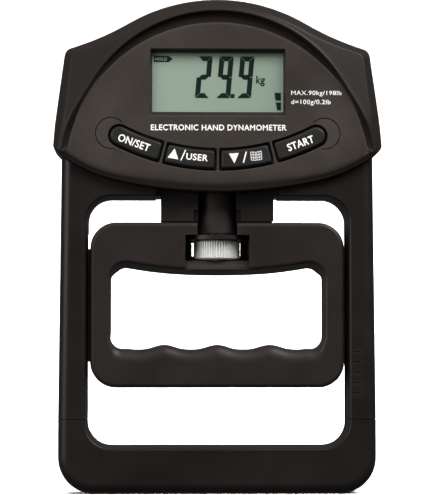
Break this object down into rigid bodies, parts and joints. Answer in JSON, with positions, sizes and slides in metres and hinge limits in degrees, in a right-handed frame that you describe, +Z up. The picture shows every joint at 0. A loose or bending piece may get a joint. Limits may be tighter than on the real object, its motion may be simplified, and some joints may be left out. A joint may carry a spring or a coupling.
{
  "type": "hand dynamometer",
  "caption": "Upright hand grip meter: arched digital display head on a looped frame, with a sliding finger-grooved handle set by a knurled wheel.",
  "frame": {"origin": "middle of the box's underside, on the surface that the palm bar stands on", "axes": "+Z up along the height, X across the width, the display faces -Y"},
  "size_m": [0.1264, 0.029, 0.19],
  "materials": {
    "housing_black": "satin, fine moulded grain",
    "panel_charcoal": "satin, fine moulded grain",
    "key_black": "satin",
    "clear_lens": "polished",
    "lcd_green": "reflective display film under glass",
    "lcd_ink": "display segments",
    "print_white": "pad print",
    "frame_white": "moulded",
    "conductive_rubber": "matte",
    "board_green": "solder mask",
    "component_black": "moulded",
    "silicone_grey": "matte",
    "nickel": "plated",
    "cell_label": "printed sleeve",
    "lead_red": "insulated wire",
    "lead_blue": "insulated wire",
    "beam_aluminium": "machined",
    "steel_dark": "turned",
    "gauge_foil": "foil film",
    "insert_brass": "turned",
    "screw_steel": "zinc plated",
    "strap_steel": "cold rolled",
    "washer_black": "low-friction",
    "wheel_silver": "straight knurl, bright"
  },
  "bodies": {
    "main": {"head_front_cover": "panel_charcoal", "head_rear_cover": "housing_black", "head_screws": "screw_steel", "lcd_window": "clear_lens", "lcd_glass": "lcd_green", "lcd_holder": "frame_white", "zebra_strips": "conductive_rubber", "main_pcb": "board_green", "pcb_components": "component_black", "buzzer": "component_black", "key_mat": "silicone_grey", "battery_springs": "nickel", "battery_plates": "nickel", "upper_cell": "cell_label", "lower_cell": "cell_label", "battery_leads": "lead_red", "load_cell": "beam_aluminium", "load_cell_spacer": "beam_aluminium", "load_cell_bolts": "steel_dark", "strain_gauges": "gauge_foil", "gauge_leads": "lead_blue", "neck_tube": "housing_black", "draw_bolt": "steel_dark", "thread_insert": "insert_brass", "neck_guide": "housing_black", "left_rail_front": "housing_black", "left_rail_rear": "housing_black", "right_rail_front": "housing_black", "right_rail_rear": "housing_black", "palm_bar_front": "housing_black", "palm_bar_rear": "housing_black", "frame_screws": "screw_steel", "steel_frame": "strap_steel"},
    "handle": {"handle_front": "housing_black", "handle_rear": "housing_black", "handle_core": "strap_steel", "handle_screws": "screw_steel", "thrust_washer": "washer_black"},
    "wheel": {"adjusting_wheel": "wheel_silver", "adjusting_screw": "screw_steel"},
    "on_set_key": {"key_on_set": "key_black"},
    "up_key": {"key_user_up": "key_black"},
    "down_key": {"key_memory_down": "key_black"},
    "start_key": {"key_start": "key_black"},
    "battery_lid": {"battery_cover": "housing_black"}
  },
  "joints": [
    {"name": "wheel_spin", "type": "hinge", "parent": "handle", "child": "wheel", "pos_m": [0, 0.0025, 0.0937], "axis": [0, 0, -1], "range_deg": [0, 2880]},
    {"name": "handle_slide", "type": "slide", "parent": "main", "child": "handle", "axis": [0, 0, -1], "range_m": [0, 0.016]},
    {"name": "lid_hinge", "type": "hinge", "parent": "main", "child": "battery_lid", "pos_m": [0, 0.01375, 0.1515], "axis": [-1, 0, 0], "range_deg": [0, 80]},
    {"name": "on_set_press", "type": "slide", "parent": "main", "child": "on_set_key", "axis": [0, 1, 0], "range_m": [0, 0.0008], "stiffness_N_per_m": 300},
    {"name": "up_press", "type": "slide", "parent": "main", "child": "up_key", "axis": [0, 1, 0], "range_m": [0, 0.0008], "stiffness_N_per_m": 300},
    {"name": "down_press", "type": "slide", "parent": "main", "child": "down_key", "axis": [0, 1, 0], "range_m": [0, 0.0008], "stiffness_N_per_m": 300},
    {"name": "start_press", "type": "slide", "parent": "main", "child": "start_key", "axis": [0, 1, 0], "range_m": [0, 0.0008], "stiffness_N_per_m": 300}
  ],
  "couplings": [
    {"joint": "wheel_spin", "follows": "handle_slide", "rad_per_m": 3141.6}
  ]
}
